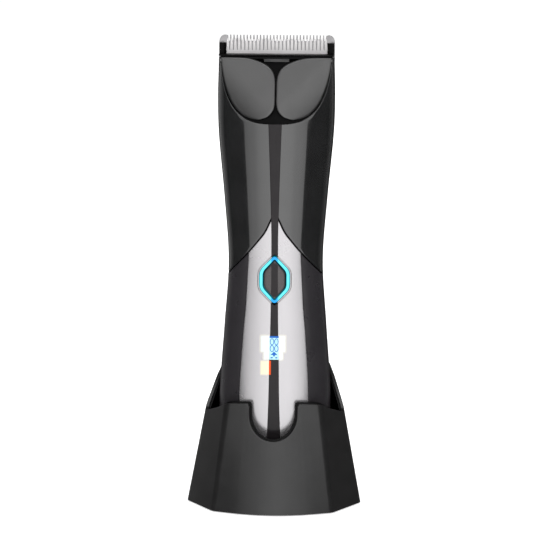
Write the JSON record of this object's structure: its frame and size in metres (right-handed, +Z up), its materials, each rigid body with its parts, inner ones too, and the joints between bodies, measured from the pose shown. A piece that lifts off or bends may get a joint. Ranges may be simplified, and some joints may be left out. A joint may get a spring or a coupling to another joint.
{
  "type": "body groomer",
  "caption": "Cordless body groomer with a waisted dark and silver handpiece, lit power button and wide toothed blade, standing in a dark flared charging dock.",
  "frame": {"origin": "middle of the dock's footprint, on the surface it stands on", "axes": "+Z up along the handpiece towards the blade, the front with the power button faces -Y, +X to the right as seen from the front"},
  "size_m": [0.0644, 0.0535, 0.173],
  "materials": {
    "dock_satin": "satin",
    "dock_black": "matt",
    "foot_rubber": "matt",
    "screw_steel": "satin",
    "board_green": "satin",
    "inner_plastic": "matt",
    "contact_gold": "polished",
    "gloss_graphite": "gloss",
    "grip_dark": "satin",
    "silver_coat": "metallised gloss",
    "spine_gloss": "gloss",
    "head_black": "gloss",
    "head_grey": "gloss",
    "ring_light": "translucent",
    "display_lens": "translucent",
    "cell_wrap": "wrapped",
    "motor_steel": "satin",
    "seal_rubber": "matt",
    "button_grey": "satin",
    "blade_steel": "ground",
    "blade_ceramic": "ground"
  },
  "bodies": {
    "dock": {"dock_housing": "dock_satin", "dock_liner": "dock_black", "dock_base": "dock_black", "foot_front_left": "foot_rubber", "foot_front_right": "foot_rubber", "foot_back_left": "foot_rubber", "foot_back_right": "foot_rubber", "base_screw_left": "screw_steel", "base_screw_right": "screw_steel", "dock_board": "board_green", "pin_block": "inner_plastic", "power_inlet": "inner_plastic"},
    "charge_pin_l": {"charge_pin_left": "contact_gold"},
    "charge_pin_r": {"charge_pin_right": "contact_gold"},
    "handpiece": {"upper_front_cover": "gloss_graphite", "lower_front_shell": "grip_dark", "silver_panel_left": "silver_coat", "silver_panel_right": "silver_coat", "spine_upper": "spine_gloss", "spine_middle": "spine_gloss", "spine_lower": "spine_gloss", "head_mask": "head_black", "head_plate_left": "head_grey", "head_plate_right": "head_grey", "rear_shell": "grip_dark", "bottom_cap": "grip_dark", "contact_left": "contact_gold", "contact_right": "contact_gold", "light_ring": "ring_light", "chassis": "inner_plastic", "main_board": "board_green", "display_module": "display_lens", "tact_switch": "inner_plastic", "battery_cell": "cell_wrap", "motor_can": "motor_steel", "drive_bulkhead": "inner_plastic", "shaft_seal": "seal_rubber"},
    "button": {"power_button": "button_grey", "button_strip": "spine_gloss"},
    "rotor": {"motor_rotor": "motor_steel", "eccentric_cam": "inner_plastic"},
    "cassette": {"cassette_frame": "head_black", "fixed_blade": "blade_steel", "blade_spring": "blade_steel", "blade_screw_left": "screw_steel", "blade_screw_right": "screw_steel"},
    "cutter": {"moving_blade": "blade_ceramic", "drive_fork": "inner_plastic"}
  },
  "joints": [
    {"name": "handpiece_lift", "type": "slide", "parent": "dock", "child": "handpiece", "axis": [0, 0, 1], "range_m": [0, 0.06]},
    {"name": "pin_left_press", "type": "slide", "parent": "dock", "child": "charge_pin_l", "axis": [0, 0, 1], "range_m": [-0.0008, 0], "stiffness_N_per_m": 100, "springref_m": 0.001},
    {"name": "pin_right_press", "type": "slide", "parent": "dock", "child": "charge_pin_r", "axis": [0, 0, 1], "range_m": [-0.0008, 0], "stiffness_N_per_m": 100, "springref_m": 0.001},
    {"name": "button_press", "type": "slide", "parent": "handpiece", "child": "button", "axis": [0, 1, 0], "range_m": [0, 0.0005], "stiffness_N_per_m": 400},
    {"name": "motor_spin", "type": "hinge", "parent": "handpiece", "child": "rotor", "pos_m": [0, 0.0001, 0.13], "axis": [0, 0, 1], "continuous": true},
    {"name": "cassette_tilt", "type": "hinge", "parent": "handpiece", "child": "cassette", "pos_m": [0, 0.0096, 0.1622], "axis": [-1, 0, 0], "range_deg": [0, 35]},
    {"name": "cutter_stroke", "type": "slide", "parent": "cassette", "child": "cutter", "axis": [1, 0, 0], "range_m": [-0.0007, 0.0007]}
  ]
}
